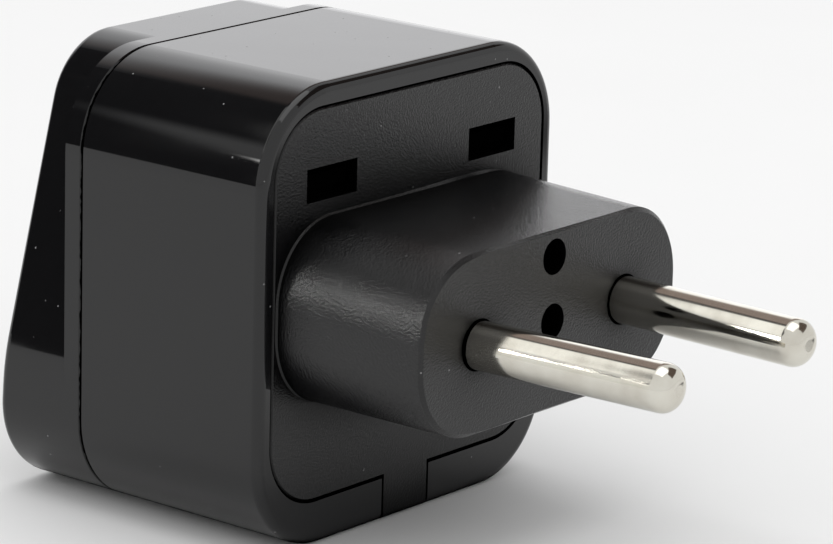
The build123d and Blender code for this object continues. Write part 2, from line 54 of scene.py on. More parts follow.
# %% [markdown]
# ## Helpers for materials
# Every finish here is a Principled shader fed by a few noise patterns in Object coordinates, which
# are metres on these pieces. The nodes could be placed by hand, but a small helper that adds a node
# and wires its inputs keeps each material short enough to read.

# %% Nodes and new materials
def add_node(tree, kind, inputs=None, **settings):
    """Add a node, set its properties, and fill or link its inputs by name or number."""
    node = tree.nodes.new(kind)
    for name, value in settings.items():
        setattr(node, name, value)
    for key, value in (inputs or {}).items():
        socket = node.inputs[key]
        if isinstance(value, bpy.types.NodeSocket):
            tree.links.new(value, socket)
        else:
            socket.default_value = value
    return node


def calculate(tree, operation, *values):
    """One step of arithmetic on numbers or sockets."""
    node = add_node(tree, "ShaderNodeMath", dict(enumerate(values)), operation=operation)
    return node.outputs[0]


def new_material(name, **sockets):
    """A material with one Principled shader. Returns it with its tree, shader and coordinates."""
    material = bpy.data.materials.new(name)
    material.use_nodes = True
    tree = material.node_tree
    shader = tree.nodes["Principled BSDF"]
    for key, value in sockets.items():
        shader.inputs[key.replace("_", " ")].default_value = value
    place = add_node(tree, "ShaderNodeTexCoord").outputs["Object"]
    return material, tree, shader, place


def tell(material):
    """Say what a finished material is made of."""
    print(material.name, "has", len(material.node_tree.nodes), "nodes")


# %% [markdown]
# ## Patterns
# Four kinds of step are enough for all the finishes. Noise gives soft blobs of a chosen real size,
# a remap turns them into the range that a socket needs, a mix turns a number into a colour, and a
# bump turns a number into tiny hills whose height is given in metres. Noise rarely leaves the
# range from 0.3 to 0.7, so most remaps here start and end near those two.

# %% Patterns
def noise(tree, place, size, detail=2.0, rough=0.5):
    """Noise whose blobs are about size metres across."""
    inputs = {"Vector": place, "Scale": 1 / size, "Detail": detail, "Roughness": rough}
    return add_node(tree, "ShaderNodeTexNoise", inputs).outputs["Fac"]


def remap(tree, value, low, high, to_low, to_high, smooth=False):
    """Map a value's range low..high to to_low..to_high, held at the ends."""
    style = "SMOOTHSTEP" if smooth else "LINEAR"
    inputs = {
        "Value": value, "From Min": low, "From Max": high, "To Min": to_low, "To Max": to_high,
    }
    return add_node(tree, "ShaderNodeMapRange", inputs, interpolation_type=style).outputs["Result"]


def mix_color(tree, factor, first, second):
    """Blend two colours, or colour sockets, by factor."""
    node = add_node(tree, "ShaderNodeMix", {"Factor": factor}, data_type="RGBA")
    for key, value in ((6, first), (7, second)):
        if isinstance(value, bpy.types.NodeSocket):
            tree.links.new(value, node.inputs[key])
        else:
            node.inputs[key].default_value = (*value[:3], 1)
    return node.outputs[2]


def bump(tree, height, depth, below=None):
    """Turn a height pattern into a normal; depth is the pattern's real height in metres."""
    inputs = {"Height": height, "Distance": depth, "Strength": 1.0}
    if below is not None:
        inputs["Normal"] = below
    return add_node(tree, "ShaderNodeBump", inputs).outputs["Normal"]


# %% [markdown]
# ## Dust
# A black moulding is never quite clean, and a few pale specks tell the eye where its surface is.
# They could be tiny meshes, but a cell pattern does it in the material: some cells are picked by
# their random colour, and a picked cell has a speck in its middle.

# %% Dust
SPECK_CORE = 0.6
PICKED_ABOVE, FULLY_PICKED = 0.88, 0.9


def dust(tree, place, cell, size):
    """1 on a speck and 0 beside it, with cells cell metres wide and specks size cells in radius."""
    cells = add_node(tree, "ShaderNodeTexVoronoi", {"Vector": place, "Scale": 1 / cell})
    near = remap(tree, cells.outputs["Distance"], size * SPECK_CORE, size, 1.0, 0.0)
    chosen = add_node(tree, "ShaderNodeSeparateColor", {"Color": cells.outputs["Color"]})
    picked = remap(tree, chosen.outputs[0], PICKED_ABOVE, FULLY_PICKED, 0.0, 1.0)
    return calculate(tree, "MULTIPLY", near, picked)


print("specks sit in", f"{1 - FULLY_PICKED:.0%} to {1 - PICKED_ABOVE:.0%}", "of the cells")

# %% [markdown]
# ## Painted shade in gaps
# Light that enters a snap window or a narrow gap in black plastic doesn't come back out, so the
# shade there is painted. Ambient occlusion measures how much the plastic round a point shuts it in,
# in the model's own space, so the painted shade stays in place from every side. There the colour is
# painted black and the gloss taken away, because a mirror skin at the bottom of a hole would still
# show the bright studio.

# %% Painted shade in gaps
SHADE_AND_JOINT_BLACK = (0.0005, 0.0005, 0.0005)
FULL_GLOSS = 0.5
GAP_SAMPLES = 6


def unshaded_skin(tree, reach, shut, open_from):
    """1 on open skin and 0 where shade is painted deep in a gap, hole or window, from how much
    plastic shuts it in.
    """
    shut_in = add_node(
        tree, "ShaderNodeAmbientOcclusion", {"Distance": reach}, samples=GAP_SAMPLES
    )
    return remap(tree, shut_in.outputs["AO"], shut, open_from, 0.0, 1.0, smooth=True)


def paint_shade_and_dark_joints(tree, shader, skin, color):
    """Paint shade where skin is 0, taking the colour and the gloss away as a deep gap gives no
    light back; a dark joint can share the mask.
    """
    tree.links.new(mix_color(tree, skin, SHADE_AND_JOINT_BLACK, color), shader.inputs["Base Color"])
    gloss = calculate(tree, "MULTIPLY", skin, FULL_GLOSS)
    tree.links.new(gloss, shader.inputs["Specular IOR Level"])


print("gloss runs from 0 in a gap to", FULL_GLOSS, "on open skin")

# %% [markdown]
# ## The joint and the inside of the case
# The joint between the sleeve and the cover is a dark line of uneven width, because a little flash
# was left along it. The solids meet there without a gap, so a band in Y draws the line, with its
# edge moved by noise. Behind the back plate the sleeve is lit by nothing, so a box in from the
# sleeve's walls marks where shade is painted: there its colour goes black and its gloss away.

# %% The joint and the inside of the case
SLEEVE_WALL = Vector((1.8, 0.4, 3.2)) * MM
SLEEVE_FADE = 0.1 * MM
SEAM_HALF_WIDTH, SEAM_FADED_AT = 0.07 * MM, 0.11 * MM
FLASH_SIZE, FLASH_REACH = 0.7 * MM, 0.07 * MM


def distance_from(tree, value, middle):
    """How far a coordinate is from a plane across its axis, on either side."""
    return calculate(tree, "ABSOLUTE", calculate(tree, "SUBTRACT", value, middle))


def outside_sleeve(tree, place):
    """0 on what the sleeve holds behind its back plate, where no light comes and shade is painted,
    and 1 outside.
    """
    low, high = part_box("housing")
    middle, half = (low + high) / 2, (high - low) / 2
    spot = add_node(tree, "ShaderNodeSeparateXYZ", {"Vector": place})
    outside = 0.0
    for axis in range(3):
        edge = half[axis] - SLEEVE_WALL[axis]
        off = distance_from(tree, spot.outputs[axis], middle[axis])
        beyond = remap(tree, off, edge - SLEEVE_FADE, edge, 0.0, 1.0)
        outside = calculate(tree, "MAXIMUM", beyond, outside)
    return outside


def seam_line(tree, place):
    """0 on the joint between the sleeve and the cover and 1 beside it."""
    along = add_node(tree, "ShaderNodeSeparateXYZ", {"Vector": place}).outputs["Y"]
    off = distance_from(tree, along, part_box("housing")[0].y)
    flash = remap(tree, noise(tree, place, FLASH_SIZE, detail=4.0), 0.4, 0.65, 0.0, FLASH_REACH)
    off = calculate(tree, "SUBTRACT", off, flash)
    return remap(tree, off, SEAM_HALF_WIDTH, SEAM_FADED_AT, 0.0, 1.0)


# %% [markdown]
# ## Gloss black, for the case and the cover
# Polished moulds give this plastic a mirror skin, so almost all of its look is reflection. A plain
# black with low roughness would look like glass, so a faint waviness bends the reflections as real
# mouldings do, and handling marks change the roughness in soft patches.

# %% Gloss black
CASE_TINTS = (0.002, 0.002, 0.0023), (0.0035, 0.0035, 0.004)
CASE_DUST = (0.22, 0.22, 0.22)
CASE_ROUGHNESS = (0.035, 0.085)


def make_gloss_black():
    material, tree, shader, place = new_material("gloss_black_plastic", IOR=1.5)
    smears = noise(tree, place, 14 * MM, detail=4.0)
    fine = noise(tree, place, 0.9 * MM, detail=3.0)
    specks = dust(tree, place, cell=0.8 * MM, size=0.12)
    rough = calculate(tree, "ADD", remap(tree, smears, 0.35, 0.7, *CASE_ROUGHNESS), specks)
    tree.links.new(rough, shader.inputs["Roughness"])
    color = mix_color(tree, specks, mix_color(tree, fine, *CASE_TINTS), CASE_DUST)
    # Painted shade: occlusion and the box behind the back plate paint the colour black and take the
    # gloss away in gaps, windows and inside the case; the joint line is darkened the same way as
    # the plastic's dark joint.
    in_the_open = unshaded_skin(tree, reach=2.0 * MM, shut=0.4, open_from=0.8)
    skin = calculate(tree, "MULTIPLY", in_the_open, seam_line(tree, place))
    skin = calculate(tree, "MULTIPLY", skin, outside_sleeve(tree, place))
    paint_shade_and_dark_joints(tree, shader, skin, color)
    waves = bump(tree, noise(tree, place, 9 * MM, detail=1.0), 0.02 * MM)
    tree.links.new(bump(tree, fine, 0.0006 * MM, below=waves), shader.inputs["Normal"])
    return material


gloss_black = make_gloss_black()
tell(gloss_black)

# %% [markdown]
# ## Satin black, for the plate and the plug
# The plug half comes from a spark-eroded mould: its skin is covered in tiny pits, which spread a
# highlight into a soft sparkling patch. Modelled pits would need millions of faces, so fine noise
# as height gives them, and the base roughness does the spreading that is too small to see.

# %% Satin black
PLATE_TINTS = (0.002, 0.002, 0.0022), (0.006, 0.006, 0.0065)
PLATE_DUST = (0.18, 0.18, 0.18)
PLATE_ROUGHNESS = (0.16, 0.22)


def make_satin_black():
    material, tree, shader, place = new_material("satin_black_plastic", IOR=1.48)
    pits = noise(tree, place, 0.2 * MM, detail=3.0, rough=0.6)
    wear = noise(tree, place, 6 * MM, detail=4.0)
    tree.links.new(remap(tree, wear, 0.3, 0.7, *PLATE_ROUGHNESS), shader.inputs["Roughness"])
    specks = dust(tree, place, cell=1.1 * MM, size=0.1)
    color = mix_color(tree, specks, mix_color(tree, pits, *PLATE_TINTS), PLATE_DUST)
    # Painted shade: occlusion over 9 mm paints the colour darker and takes the gloss away in the
    # windows and round the plug's root.
    skin = unshaded_skin(tree, reach=9 * MM, shut=0.42, open_from=0.94)
    paint_shade_and_dark_joints(tree, shader, skin, color)
    tree.links.new(bump(tree, pits, 0.06 * MM), shader.inputs["Normal"])
    return material


satin_black = make_satin_black()
tell(satin_black)

# %% [markdown]
# ## Inner mouldings
# The carrier and the retainer are plain structural mouldings that nobody polishes. The carrier
# shows a little through the socket openings, so it is duller and a shade lighter than the case.

# %% Inner black
INNER_TINTS = (0.012, 0.012, 0.013), (0.02, 0.02, 0.021)
INNER_ROUGHNESS = (0.45, 0.6)


def make_inner_black():
    material, tree, shader, place = new_material("inner_black_plastic", IOR=1.46)
    grain = noise(tree, place, 0.3 * MM, detail=3.0)
    clouds = noise(tree, place, 5 * MM)
    tree.links.new(remap(tree, grain, 0.3, 0.7, *INNER_ROUGHNESS), shader.inputs["Roughness"])
    tree.links.new(mix_color(tree, clouds, *INNER_TINTS), shader.inputs["Base Color"])
    tree.links.new(bump(tree, grain, 0.01 * MM), shader.inputs["Normal"])
    return material


inner_black = make_inner_black()
tell(inner_black)

# %% [markdown]
# ## Metals
# The pins are turned brass with a nickel plating: warm, bright, and with fine rings that the lathe
# left across their length. The strips and contacts are bare rolled brass, and the screws have a
# dull zinc coat. One function makes all three, because they differ only in numbers, and a Mapping
# node stretches the noise into rings or into streaks.

# %% Metals
TURNED_RINGS = (0.05, 1.0, 0.05)
ROLLED_STREAKS = (1.0, 0.12, 1.0)


def make_metal(name, light, dark, roughness, mark_size, mark_depth, stretch):
    """A metal with fine stretched marks and soft patches of bloom."""
    material, tree, shader, place = new_material(name, Metallic=1.0)
    stretched = add_node(tree, "ShaderNodeMapping", {"Vector": place, "Scale": stretch})
    marks = noise(tree, stretched.outputs["Vector"], mark_size, detail=3.0)
    bloom = noise(tree, place, 2.4 * MM, detail=4.0)
    tree.links.new(remap(tree, bloom, 0.3, 0.7, *roughness), shader.inputs["Roughness"])
    color = mix_color(tree, remap(tree, bloom, 0.35, 0.75, 0.0, 1.0), light, dark)
    tree.links.new(color, shader.inputs["Base Color"])
    tree.links.new(bump(tree, marks, mark_depth), shader.inputs["Normal"])
    tell(material)
    return material


nickel = make_metal(
    "nickel_plating", light=(0.70, 0.68, 0.61), dark=(0.60, 0.57, 0.50), roughness=(0.07, 0.14),
    mark_size=0.12 * MM, mark_depth=0.0008 * MM, stretch=TURNED_RINGS,
)
brass = make_metal(
    "rolled_brass", light=(0.78, 0.58, 0.28), dark=(0.62, 0.43, 0.19), roughness=(0.25, 0.38),
    mark_size=0.2 * MM, mark_depth=0.002 * MM, stretch=ROLLED_STREAKS,
)
zinc = make_metal(
    "zinc_coat", light=(0.62, 0.62, 0.61), dark=(0.48, 0.48, 0.47), roughness=(0.3, 0.45),
    mark_size=0.15 * MM, mark_depth=0.002 * MM, stretch=ROLLED_STREAKS,
)

# %% [markdown]
# ## Dress the solids
# Each node keeps its mesh and only gets its finish. The table below is the adapter's parts list,
# read as which plastic or metal each piece is made of. A node gets the first finish that names it
# or a part of its name, so the contact carrier is found before the brass contacts.

# %% Dress the solids
FINISHES = {
    gloss_black: ("housing", "front_cover"),
    satin_black: ("rear_plate",),
    inner_black: ("contact_carrier", "pin_retainer"),
    nickel: ("live_pin", "neutral_pin"),
    brass: ("washer", "strip", "contact", "rivet"),
    zinc: ("case_screw", "retainer_screw"),
}


def finish_for(node_name):
    """The first finish whose list has this node's name or a part of it."""
    for material, words in FINISHES.items():
        if any(word in node_name for word in words):
            return material
    raise ValueError(f"no finish for {node_name}")


for node_name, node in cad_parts.items():
    material = finish_for(node_name)
    node.data.materials.clear()
    node.data.materials.append(material)
    print(node_name, "->", material.name)

# %% [markdown]
# ## Screws
# Five self-tapping screws hold the adapter together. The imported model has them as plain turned
# shapes, and here each gets the cross in its head and the thread on its shank. They could be
# modelled one by one, but the screws repeat, so one Geometry Nodes tree makes them: it takes a
# point for each seat, builds a screw from named sizes, and puts one on every point. The thread
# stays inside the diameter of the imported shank.
#
# The head and the shank are both rods with one edge cut off. A cylinder with two side segments has
# three rings of points: the upper one is drawn in, and the middle one is lifted to where the
# bevel starts.

# %% Rods
def tapered_rod(tree, sides, radius, height, taper):
    """A closed rod round Z, its middle at the origin, whose upper edge is cut off by taper."""
    sizes = {"Vertices": sides, "Side Segments": 2, "Radius": radius, "Depth": height}
    rod = add_node(tree, "GeometryNodeMeshCylinder", sizes)
    spot = add_node(tree, "GeometryNodeInputPosition").outputs["Position"]
    spot = add_node(tree, "ShaderNodeSeparateXYZ", {"Vector": spot})
    quarter = calculate(tree, "MULTIPLY", height, 0.25)
    on_top = calculate(tree, "GREATER_THAN", spot.outputs["Z"], quarter)
    level = calculate(tree, "ABSOLUTE", spot.outputs["Z"])
    in_middle = calculate(tree, "LESS_THAN", level, quarter)
    shrink = calculate(tree, "MULTIPLY", on_top, calculate(tree, "DIVIDE", taper, radius))
    keep = calculate(tree, "SUBTRACT", 1.0, shrink)
    ring = calculate(tree, "SUBTRACT", calculate(tree, "MULTIPLY", height, 0.5), taper)
    lift = calculate(tree, "MULTIPLY", in_middle, ring)
    place = add_node(tree, "ShaderNodeCombineXYZ", {
        "X": calculate(tree, "MULTIPLY", spot.outputs["X"], keep),
        "Y": calculate(tree, "MULTIPLY", spot.outputs["Y"], keep),
        "Z": calculate(tree, "ADD", spot.outputs["Z"], lift),
    })
    moved = {"Geometry": rod.outputs["Mesh"], "Position": place.outputs["Vector"]}
    return add_node(tree, "GeometryNodeSetPosition", moved).outputs["Geometry"]


def shift_z(tree, geometry, height, turn=0.0):
    """Move a shape along Z, after turning it over about X."""
    move = add_node(tree, "ShaderNodeCombineXYZ", {"Z": height}).outputs["Vector"]
    inputs = {"Geometry": geometry, "Translation": move, "Rotation": (turn, 0.0, 0.0)}
    return add_node(tree, "GeometryNodeTransform", inputs).outputs["Geometry"]


# %% [markdown]
# ### The head
# A driver's cross is two crossed slots, so two bars are cut out of the head. A bar stands half in
# the head and half above it, which makes the slot half as deep as the bar is thick.

# %% The head
HEAD_SIDES = 48
BEVEL_SHARE = 0.35
SLOT_WIDTH, SLOT_BAR = 0.5 * MM, 1.4 * MM
SLOT_SHARE = 1.2


def cross_head(tree, given):
    """The head on Z = 0 and above it, with its cross cut in."""
    head_r = calculate(tree, "MULTIPLY", given["Head Diameter"], 0.5)
    head_t = given["Head Height"]
    bevel = calculate(tree, "MULTIPLY", head_t, BEVEL_SHARE)
    head = tapered_rod(tree, HEAD_SIDES, head_r, head_t, bevel)
    head = shift_z(tree, head, calculate(tree, "MULTIPLY", head_t, 0.5))
    cut = add_node(tree, "GeometryNodeMeshBoolean", {"Mesh 1": head}, operation="DIFFERENCE")
    slot = calculate(tree, "MULTIPLY", head_r, SLOT_SHARE)
    for x, y in ((slot, SLOT_WIDTH), (SLOT_WIDTH, slot)):
        size = add_node(tree, "ShaderNodeCombineXYZ", {"X": x, "Y": y, "Z": SLOT_BAR})
        bar = add_node(tree, "GeometryNodeMeshCube", {"Size": size.outputs["Vector"]})
        tree.links.new(shift_z(tree, bar.outputs["Mesh"], head_t), cut.inputs["Mesh 2"])
    return cut.outputs["Mesh"]


print("slots in mm: width", SLOT_WIDTH / MM, "and depth", SLOT_BAR / 2 / MM)

# %% [markdown]
# ### The shank and its thread
# The thread is a small diamond swept along a spiral. Its inner half is buried in the core and its
# outer half stands out as the crest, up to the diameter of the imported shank.

# %% The shank and its thread
CORE_SIDES, TURN_STEPS, THREAD_CORNERS = 32, 32, 4
CORE_SHARE = 0.76
TIP_SHARE = 0.45
BARE_LENGTH, BARE_TIP = 1.2 * MM, 0.8 * MM


def shank_radii(tree, given):
    """Two radii: under the thread, and over it."""
    shank_r = calculate(tree, "MULTIPLY", given["Shank Diameter"], 0.5)
    return calculate(tree, "MULTIPLY", shank_r, CORE_SHARE), shank_r


def pointed_core(tree, given):
    """The rod under the thread, from Z = 0 down, with its tip drawn in."""
    core_r, _ = shank_radii(tree, given)
    tip = calculate(tree, "MULTIPLY", core_r, TIP_SHARE)
    core = tapered_rod(tree, CORE_SIDES, core_r, given["Length"], tip)
    middle = calculate(tree, "MULTIPLY", given["Length"], -0.5)
    return shift_z(tree, core, middle, radians(180))


def thread(tree, given):
    """The thread's crest, which leaves the core bare at both ends."""
    core_r, shank_r = shank_radii(tree, given)
    run = calculate(tree, "SUBTRACT", given["Length"], BARE_LENGTH)
    spiral = add_node(tree, "GeometryNodeCurveSpiral", {
        "Resolution": TURN_STEPS, "Rotations": calculate(tree, "DIVIDE", run, given["Pitch"]),
        "Start Radius": core_r, "End Radius": core_r, "Height": run,
    })
    spiral = {"Curve": spiral.outputs["Curve"]}
    spiral = add_node(tree, "GeometryNodeSetCurveNormal", spiral, mode="Z_UP")
    crest = {"Resolution": THREAD_CORNERS, "Radius": calculate(tree, "SUBTRACT", shank_r, core_r)}
    diamond = add_node(tree, "GeometryNodeCurvePrimitiveCircle", crest)
    swept = add_node(tree, "GeometryNodeCurveToMesh", {
        "Curve": spiral.outputs["Curve"], "Profile Curve": diamond.outputs["Curve"],
        "Fill Caps": True,
    })
    start = calculate(tree, "SUBTRACT", BARE_TIP, given["Length"])
    return shift_z(tree, swept.outputs["Mesh"], start)


print("the core is", f"{CORE_SHARE:.0%}", "of the shank's diameter")

# %% [markdown]
# ### One screw on every seat
# A real screw stops where it is tight, so no two crosses line up. Each gets its own turn of up to
# a quarter, drawn from a fixed seed so that every run gives the same screws.

# %% One screw on every seat
SCREW_SIZES = ("Head Diameter", "Head Height", "Shank Diameter", "Length", "Pitch", "Tilt")
QUARTER_TURN = radians(90)
STOP_SEED = 7


def turned_by(tree, **angles):
    """A rotation about the axes that are named, for a node that wants one."""
    euler = add_node(tree, "ShaderNodeCombineXYZ", angles).outputs["Vector"]
    return add_node(tree, "FunctionNodeEulerToRotation", {"Euler": euler}).outputs["Rotation"]


def on_every_seat(tree, given, screw):
    """The screw put on each point, tilted to its hole and turned as far as it went in."""
    placed = add_node(tree, "GeometryNodeInstanceOnPoints", {
        "Points": given["Seats"], "Instance": screw,
        "Rotation": turned_by(tree, X=given["Tilt"]),
    })
    stop = add_node(tree, "FunctionNodeRandomValue", data_type="FLOAT")
    stop.inputs[2].default_value, stop.inputs[3].default_value = 0.0, QUARTER_TURN
    stop.inputs["Seed"].default_value = STOP_SEED
    return add_node(tree, "GeometryNodeRotateInstances", {
        "Instances": placed.outputs["Instances"], "Rotation": turned_by(tree, Z=stop.outputs[1]),
        "Local Space": True,
    }).outputs["Instances"]


def make_screw_tree(material):
    tree = bpy.data.node_groups.new("cross_head_screws", "GeometryNodeTree")
    sockets = tree.interface
    sockets.new_socket("Seats", in_out="INPUT", socket_type="NodeSocketGeometry")
    for name in SCREW_SIZES:
        sockets.new_socket(name, in_out="INPUT", socket_type="NodeSocketFloat")
    sockets.new_socket("Screws", in_out="OUTPUT", socket_type="NodeSocketGeometry")
    given = add_node(tree, "NodeGroupInput").outputs
    screw = add_node(tree, "GeometryNodeJoinGeometry")
    for part in (cross_head(tree, given), pointed_core(tree, given), thread(tree, given)):
        tree.links.new(part, screw.inputs["Geometry"])
    placed = on_every_seat(tree, given, screw.outputs["Geometry"])
    real = add_node(tree, "GeometryNodeRealizeInstances", {"Geometry": placed})
    coat = {"Geometry": real.outputs["Geometry"], "Material": material}
    coated = add_node(tree, "GeometryNodeSetMaterial", coat)
    add_node(tree, "NodeGroupOutput", {"Screws": coated.outputs["Geometry"]})
    return tree


screw_tree = make_screw_tree(zinc)
print("screw tree has", len(screw_tree.nodes), "nodes")

# %% [markdown]
# ## Place the screws
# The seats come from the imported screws, so the dressed ones sit in the same holes. The tree's
# result is turned into a plain mesh, with all its faces made to point outwards. The three case
# screws are one piece and the two retainer screws another, since each set shares its sizes.

# %% Screws from the tree
SMOOTH_BELOW = radians(35)


def run_screw_tree(name, seats, sizes):
    """A plain mesh of the screws that the tree puts on the seats."""
    mesh = bpy.data.meshes.new(name + "_seats")
    mesh.from_pydata(seats, [], [])
    source = bpy.data.objects.new(name + "_seats", mesh)
    bpy.context.scene.collection.objects.link(source)
    modifier = source.modifiers.new("screws", "NODES")
    modifier.node_group = screw_tree
    for item in screw_tree.interface.items_tree:
        if item.in_out == "INPUT" and item.name in sizes:
            modifier[item.identifier] = float(sizes[item.name])
    depsgraph = bpy.context.evaluated_depsgraph_get()
    made = bpy.data.meshes.new_from_object(source.evaluated_get(depsgraph), depsgraph=depsgraph)
    source.modifiers.remove(modifier)
    bpy.data.objects.remove(source)
    made.name = name
    return made


def point_outwards(mesh):
    """Turn every face of closed shells outwards, and shade all but sharp edges smooth."""
    shell = bmesh.new()
    shell.from_mesh(mesh)
    bmesh.ops.recalc_face_normals(shell, faces=shell.faces)
    shell.to_mesh(mesh)
    shell.free()
    mesh.polygons.foreach_set("use_smooth", [True] * len(mesh.polygons))
    mesh.set_sharp_from_angle(angle=SMOOTH_BELOW)


# %% Place the screws
CASE_SCREWS = ("case_screw_lower", "case_screw_upper_left", "case_screw_upper_right")
RETAINER_SCREWS = ("retainer_screw_left", "retainer_screw_right")
CASE_HEAD_T, RETAINER_HEAD_T = 1.6 * MM, 1.2 * MM


def make_screws(name, nodes, seat_y, *sizes):
    """One piece for a set of equal screws, each on the axis of the node that it stands for."""
    seats = []
    for node in nodes:
        low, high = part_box(node)
        seats.append(((low.x + high.x) / 2, seat_y, (low.z + high.z) / 2))
    mesh = run_screw_tree(name, seats, dict(zip(SCREW_SIZES, sizes)))
    point_outwards(mesh)
    piece = bpy.data.objects.new(name, mesh)
    bpy.context.scene.collection.objects.link(piece)
    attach(piece, "root")
    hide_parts(*nodes)
    print(name, "faces:", len(mesh.polygons))


make_screws(
    "case_screws", CASE_SCREWS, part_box(CASE_SCREWS[0])[1].y - CASE_HEAD_T,
    4.0 * MM, CASE_HEAD_T, 2.2 * MM, 7.5 * MM, 0.9 * MM, -QUARTER_TURN,
)
make_screws(
    "retainer_screws", RETAINER_SCREWS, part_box(RETAINER_SCREWS[0])[0].y + RETAINER_HEAD_T,
    3.6 * MM, RETAINER_HEAD_T, 1.8 * MM, 5.0 * MM, 0.8 * MM, QUARTER_TURN,
)

# %% [markdown]
# ## Camera
# The view is the photograph's: a long lens from behind the plug, a little above it. The numbers
# come from matching the adapter's own edges, and the aim is stated by where the point midway
# between the two pins' roots lands in an 833 by 544 picture.

# %% Camera
AZIMUTH, ELEVATION, ROLL = 128.89, 15.10, 1.57
PICTURE_W = 833
FOCAL_PX = 4397.5
DISTANCE = 353.8 * MM
PINS_RIGHT_PX, PINS_UP_PX = 135.9, -49.6
SENSOR_MM = 36.0
CLIP_START = 10 * MM


def make_camera():
    pin_low, pin_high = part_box("live_pin")
    plug_face_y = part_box("rear_plate")[1].y
    aim = Vector((0, plug_face_y, (pin_low.z + pin_high.z) / 2))
    round_z, above, roll = radians(AZIMUTH), radians(ELEVATION), radians(ROLL)
    level = Vector((cos(round_z), sin(round_z), 0))
    back = Vector((sin(round_z) * cos(above), -cos(round_z) * cos(above), sin(above)))
    upright = back.cross(level)
    right = cos(roll) * level + sin(roll) * upright
    up = cos(roll) * upright - sin(roll) * level
    off_centre = right * PINS_RIGHT_PX / FOCAL_PX + up * PINS_UP_PX / FOCAL_PX
    camera = bpy.data.objects.new("camera", bpy.data.cameras.new("camera"))
    camera.data.lens = FOCAL_PX / PICTURE_W * SENSOR_MM
    camera.data.sensor_width = SENSOR_MM
    camera.data.clip_start = CLIP_START
    turn = Matrix((right, up, back)).transposed()
    camera.matrix_world = Matrix.Translation(aim + DISTANCE * (back - off_centre)) @ turn.to_4x4()
    bpy.context.scene.collection.objects.link(camera)
    bpy.context.scene.camera = camera
    return camera


camera = make_camera()
print("camera at", [round(v, 3) for v in camera.matrix_world.translation])

# %% [markdown]
# ## Floor
# The adapter stands on a pale sheet in an even pale room. The sheet is so wide that its edge stays
# far behind the adapter, and it is matt, so that it takes the soft shadow and shows nothing of the
# cards that stand on it.

# %% Floor
FLOOR_HALF = 1.5
PAPER_TINTS = (0.86, 0.86, 0.86), (0.88, 0.88, 0.88)


def make_floor():
    mesh = bpy.data.meshes.new("floor")
    turns = ((-1, -1), (1, -1), (1, 1), (-1, 1))
    mesh.from_pydata([(x * FLOOR_HALF, y * FLOOR_HALF, 0) for x, y in turns], [], [(0, 1, 2, 3)])
    floor = bpy.data.objects.new("floor", mesh)
    bpy.context.scene.collection.objects.link(floor)
    material, tree, shader, place = new_material(
        "pale_floor", Roughness=0.9, Specular_IOR_Level=0.0
    )
    paper = noise(tree, place, 30 * MM, detail=3.0)
    tree.links.new(mix_color(tree, paper, *PAPER_TINTS), shader.inputs["Base Color"])
    mesh.materials.append(material)
    tell(material)


make_floor()

# %% [markdown]
# ## Cards
# Black gloss is a mirror, so lighting it means deciding what it mirrors. Lamps alone would leave
# it flat, so cards round the adapter give its skin something to show: dark walls for the long
# black bands, and bright windows in them, with soft edges, for the bright ones. Only glossy rays
# see the cards, as a photographer's flags stay out of the picture, so the floor and the background
# keep their own even light.

# %% How a card is made
def glossy_only(thing):
    """Let reflections see an object, and nothing else."""
    thing.visible_camera = False
    thing.visible_diffuse = False
    thing.visible_transmission = False
    thing.visible_shadow = False


def window_light(tree, place, across, upward, soft):
    """1 inside a card's window and 0 outside it, fading over soft on both sides of an edge."""
    inside = 1.0
    for axis, (start, end) in enumerate((across, upward)):
        value = place.outputs[axis]
        for edge, turn in ((start, 1), (end, -1)):
            dark, bright = edge - turn * soft, edge + turn * soft
            fade = remap(tree, value, dark, bright, 0.0, 1.0, smooth=True)
            inside = calculate(tree, "MULTIPLY", inside, fade)
    return inside


def card_material(name, color, windows):
    """A glow of one colour, with the windows' own radiance blended in."""
    material = bpy.data.materials.new(name)
    material.use_nodes = True
    tree = material.node_tree
    tree.nodes.clear()
    uv = add_node(tree, "ShaderNodeUVMap", uv_map="card").outputs["UV"]
    place = add_node(tree, "ShaderNodeSeparateXYZ", {"Vector": uv})
    shade = (*color, 1)
    for across, upward, soft, radiance in windows:
        inside = window_light(tree, place, across, upward, soft)
        shade = mix_color(tree, inside, shade, radiance)
    glow = add_node(tree, "ShaderNodeEmission", {"Color": shade, "Strength": 1.0})
    add_node(tree, "ShaderNodeOutputMaterial", {"Surface": glow.outputs["Emission"]})
    return material


def card(name, corner, along, upward, color, windows=()):
    """A flat card from corner along two edges, in metres, of one colour but for its windows.

    Each window is (u range, v range, softness, radiance), with u and v from 0 to 1 over the card.
    A range that runs past 0 or 1 lets the window reach the card's own edge.
    """
    corner, along, upward = Vector(corner), Vector(along), Vector(upward)
    mesh = bpy.data.meshes.new(name)
    points = [corner, corner + along, corner + along + upward, corner + upward]
    mesh.from_pydata([tuple(point) for point in points], [], [(0, 1, 2, 3)])
    layer = mesh.uv_layers.new(name="card")
    for loop, uv in enumerate(((0, 0), (1, 0), (1, 1), (0, 1))):
        layer.data[loop].uv = uv
    mesh.materials.append(card_material(name, color, windows))
    thing = bpy.data.objects.new(name, mesh)
    bpy.context.scene.collection.objects.link(thing)
    glossy_only(thing)
    print("card:", name, "with windows:", len(windows))


# %% [markdown]
# ### Walls
# The back wall is what the case's top mirrors: a low bright window for its pale sheen, and brown
# and dark above that for the edges. The side wall stands low beside the adapter. The cover mirrors
# its dark part, and the plug and the pins mirror the pale reflector that stands in line with it.

# %% Walls
ROOM_DARK = (0.07, 0.068, 0.07)
ROOM_BROWN = (0.33, 0.27, 0.25)
LOW_WINDOW = (1.45, 1.45, 1.47)
LIGHT_GAP = (0.5, 0.5, 0.5)
REFLECTOR = (0.9, 0.9, 0.88)

